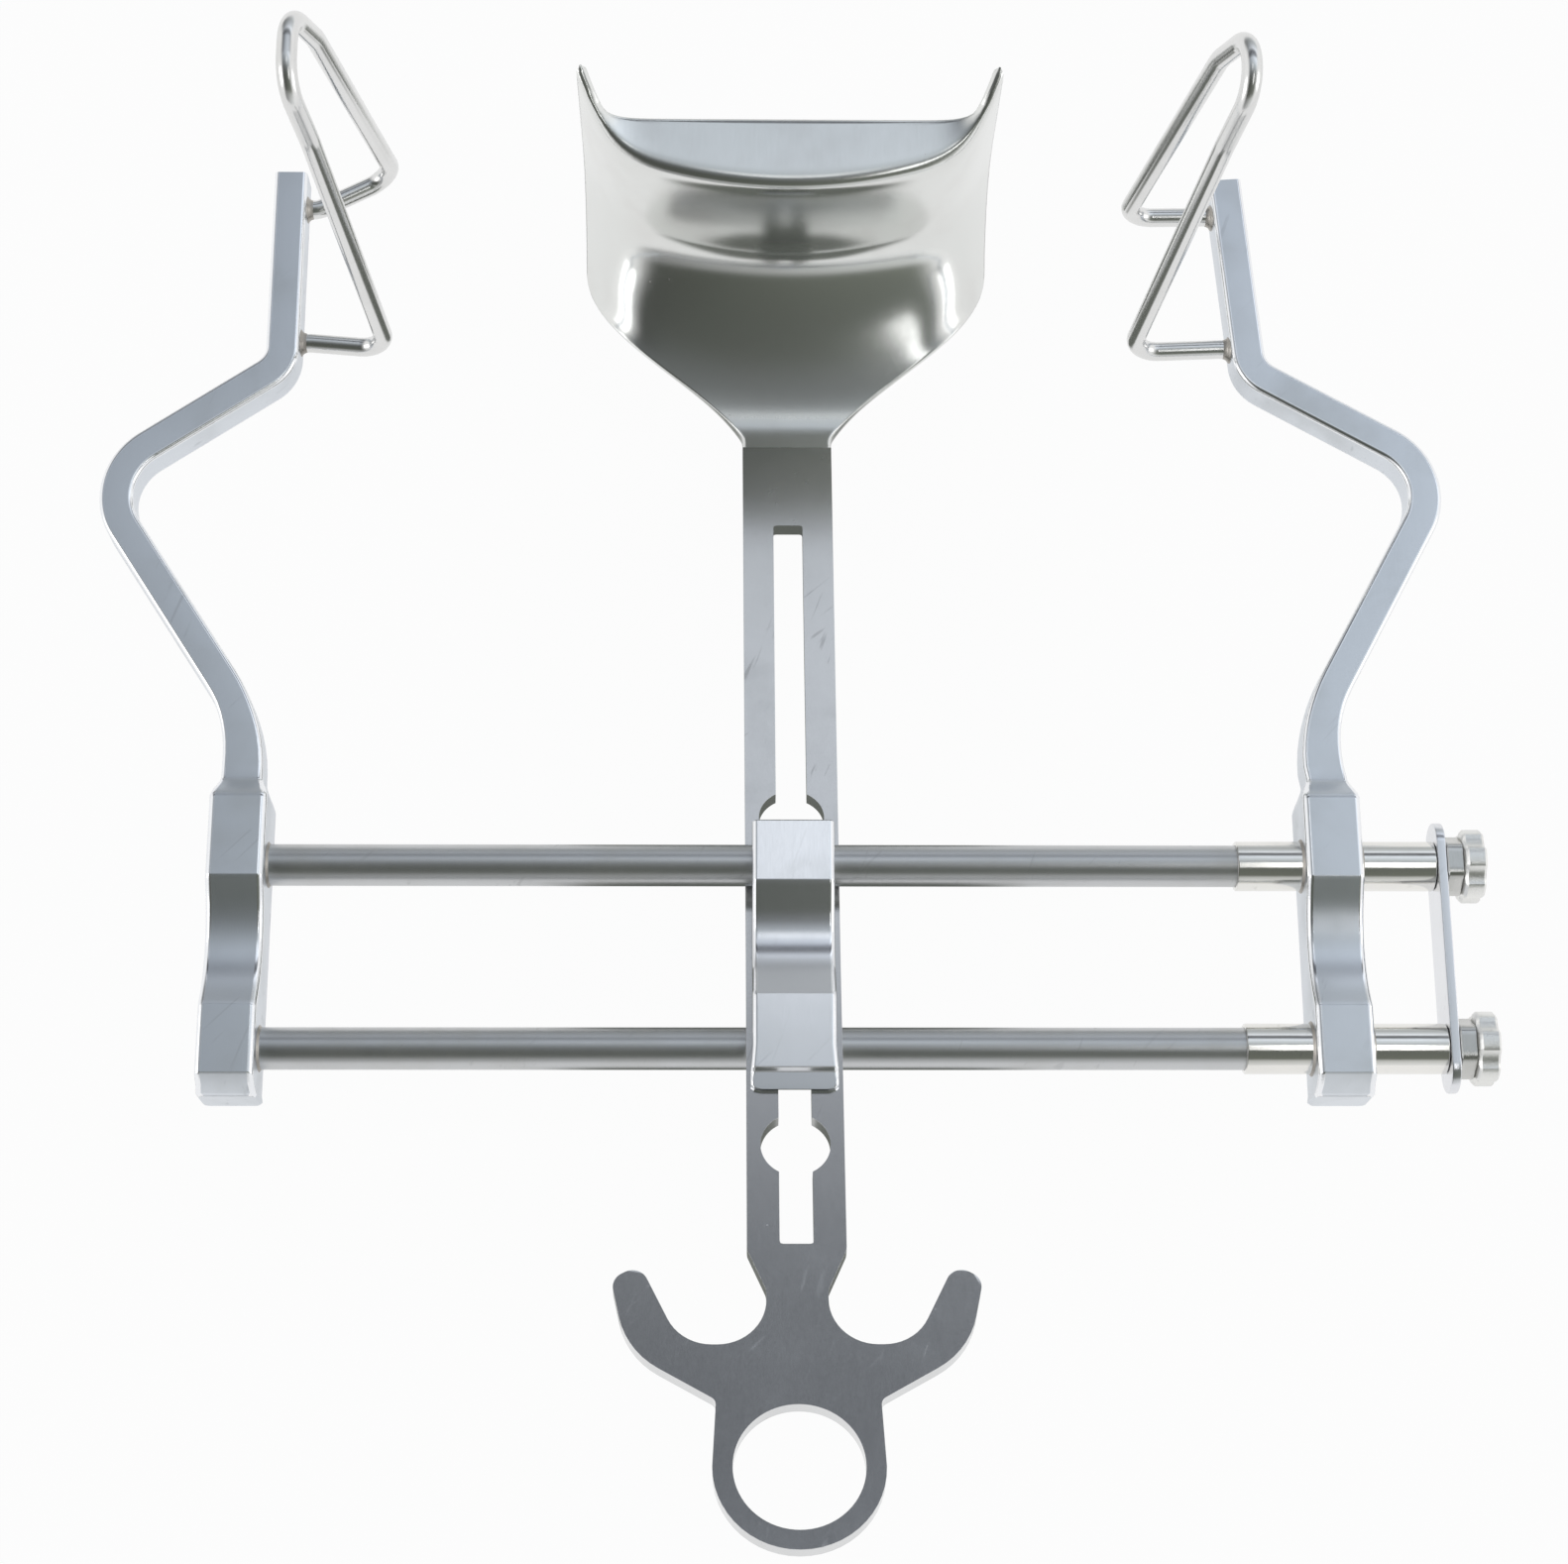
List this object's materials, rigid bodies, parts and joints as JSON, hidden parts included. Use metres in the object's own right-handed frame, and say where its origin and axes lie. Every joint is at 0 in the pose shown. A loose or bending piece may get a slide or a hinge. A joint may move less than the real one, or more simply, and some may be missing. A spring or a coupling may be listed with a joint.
{
  "type": "self-retaining abdominal retractor",
  "caption": "Self-retaining abdominal retractor: rods carry a fixed and a sliding arm with wire side blades, and a saddle that guides a centre blade with a finger-ring handle.",
  "frame": {"origin": "middle of the back face of the fixed arm's block, half-way between the two rods", "axes": "+X along the rods from the fixed arm to the thumb screws, +Y from the handle ring to the blades, +Z from the blocks' back faces to the tips of the side blades"},
  "size_m": [0.2698, 0.2992, 0.1267],
  "materials": {
    "satin_steel": "satin, with polished edges",
    "mirror_steel": "mirror polished",
    "rod_steel": "ground and polished round",
    "blade_steel": "polished, satin on the handle",
    "knob_nickel": "matte nickel"
  },
  "bodies": {
    "frame": {"fixed_arm": "satin_steel", "upper_rod": "rod_steel", "lower_rod": "rod_steel", "fixed_wire_blade": "mirror_steel", "end_plate": "satin_steel"},
    "sliding_side": {"sliding_arm": "satin_steel", "upper_guide_sleeve": "mirror_steel", "lower_guide_sleeve": "mirror_steel", "sliding_wire_blade": "mirror_steel"},
    "saddle": {"centre_saddle": "satin_steel"},
    "blade": {"centre_blade": "blade_steel"},
    "upper_screw": {"upper_thumb_screw": "knob_nickel"},
    "lower_screw": {"lower_thumb_screw": "knob_nickel"}
  },
  "joints": [
    {"name": "arm_slide", "type": "slide", "parent": "frame", "child": "sliding_side", "axis": [-1, 0, 0], "range_m": [0, 0.018]},
    {"name": "saddle_slide", "type": "slide", "parent": "frame", "child": "saddle", "axis": [1, 0, 0], "range_m": [-0.035, 0.005]},
    {"name": "blade_slide", "type": "slide", "parent": "saddle", "child": "blade", "axis": [0, 0.9504, -0.3111], "range_m": [-0.08, 0.031]},
    {"name": "upper_screw_turn", "type": "hinge", "parent": "frame", "child": "upper_screw", "pos_m": [0.2295, 0.018, 0.007], "axis": [1, 0, 0], "continuous": true},
    {"name": "lower_screw_turn", "type": "hinge", "parent": "frame", "child": "lower_screw", "pos_m": [0.2295, -0.018, 0.007], "axis": [1, 0, 0], "continuous": true}
  ]
}
